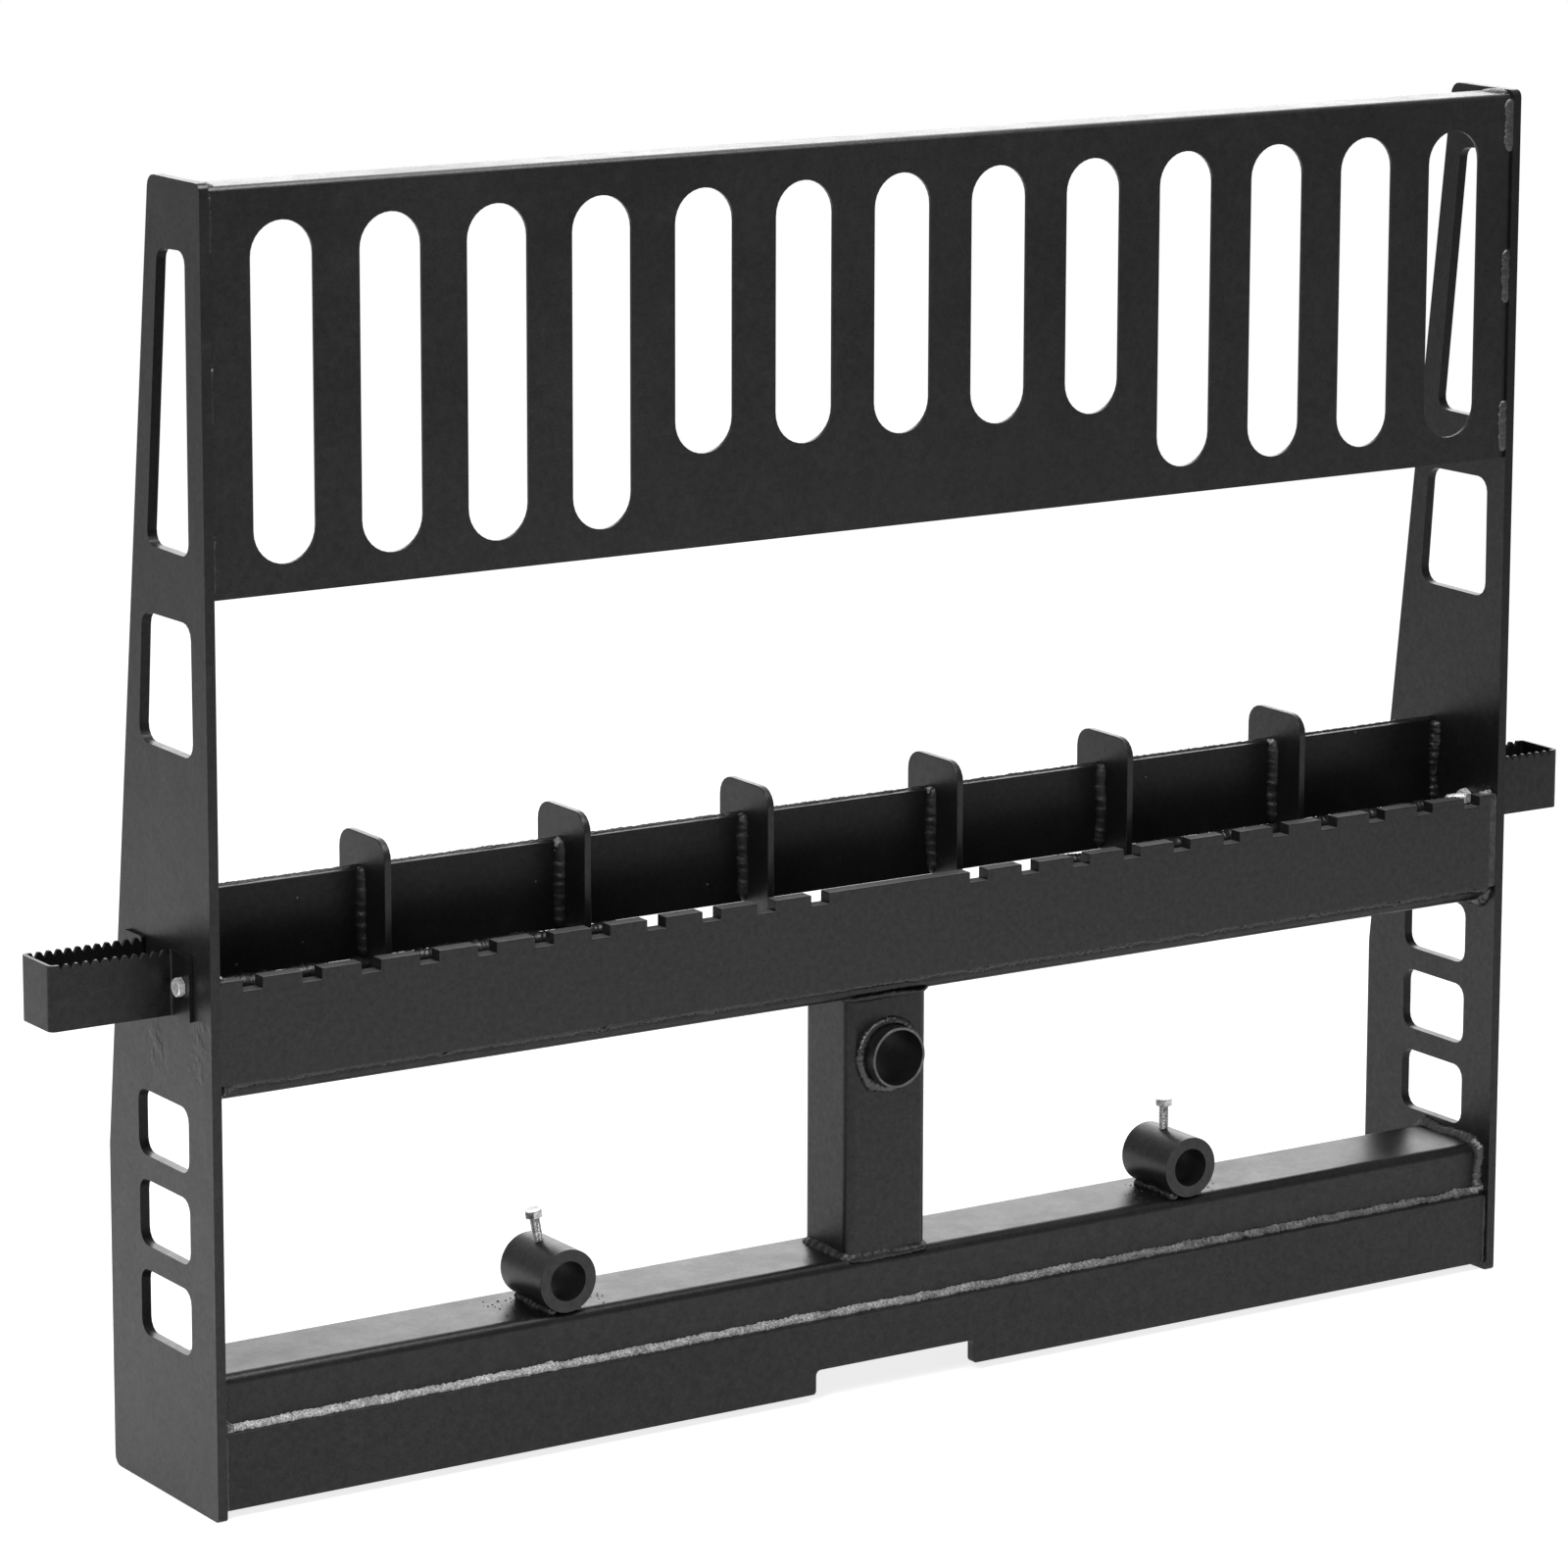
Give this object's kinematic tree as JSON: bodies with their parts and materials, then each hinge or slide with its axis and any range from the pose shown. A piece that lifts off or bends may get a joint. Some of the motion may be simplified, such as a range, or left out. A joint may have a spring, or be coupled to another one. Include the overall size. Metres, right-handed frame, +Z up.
{
  "type": "fork carriage frame",
  "caption": "Welded steel skid-steer fork carriage with notched fork bar, slotted load guard, loader hook, bale-spear sleeves and folded side steps.",
  "frame": {"origin": "centre of the bounding box in X and Y, at the bottom edges of the side plates", "axes": "+X to the right seen from the fork side, +Y towards the loader, +Z up; the forks hang on the -Y face"},
  "size_m": [1.427, 0.168, 1.003],
  "materials": {
    "powder_black": "satin black powder coat over welds",
    "zinc_plate": "bright zinc plated fasteners"
  },
  "bodies": {
    "frame": {"side_plate_left": "powder_black", "side_plate_right": "powder_black", "guard_panel": "powder_black", "fork_bar_upper": "powder_black", "fork_bar_lower": "powder_black", "cross_tube": "powder_black", "base_tube": "powder_black", "centre_post": "powder_black", "spear_sleeve_centre": "powder_black", "spear_sleeve_left": "powder_black", "spear_sleeve_right": "powder_black", "hook_plate": "powder_black", "hook_lip": "powder_black", "ear_1": "powder_black", "ear_2": "powder_black", "ear_3": "powder_black", "ear_4": "powder_black", "ear_5": "powder_black", "ear_6": "powder_black", "lock_pin_plate": "powder_black", "lock_gusset_1": "powder_black", "lock_gusset_2": "powder_black", "lock_gusset_3": "powder_black", "lock_gusset_4": "powder_black", "step_left": "powder_black", "step_right": "powder_black", "step_bolt_left_front": "zinc_plate", "step_bolt_left_rear": "zinc_plate", "step_bolt_right_front": "zinc_plate", "step_bolt_right_rear": "zinc_plate", "step_nut_left_front": "zinc_plate", "step_nut_left_rear": "zinc_plate", "step_nut_right_front": "zinc_plate", "step_nut_right_rear": "zinc_plate"},
    "set_bolt_l": {"set_bolt_left": "zinc_plate"},
    "set_bolt_r": {"set_bolt_right": "zinc_plate"}
  },
  "joints": [
    {"name": "set_bolt_left_travel", "type": "slide", "parent": "frame", "child": "set_bolt_l", "axis": [-0.1736, 0, 0.9848], "range_m": [-0.012, 0.006]},
    {"name": "set_bolt_right_travel", "type": "slide", "parent": "frame", "child": "set_bolt_r", "axis": [0, 0, 1], "range_m": [-0.012, 0.006]}
  ]
}
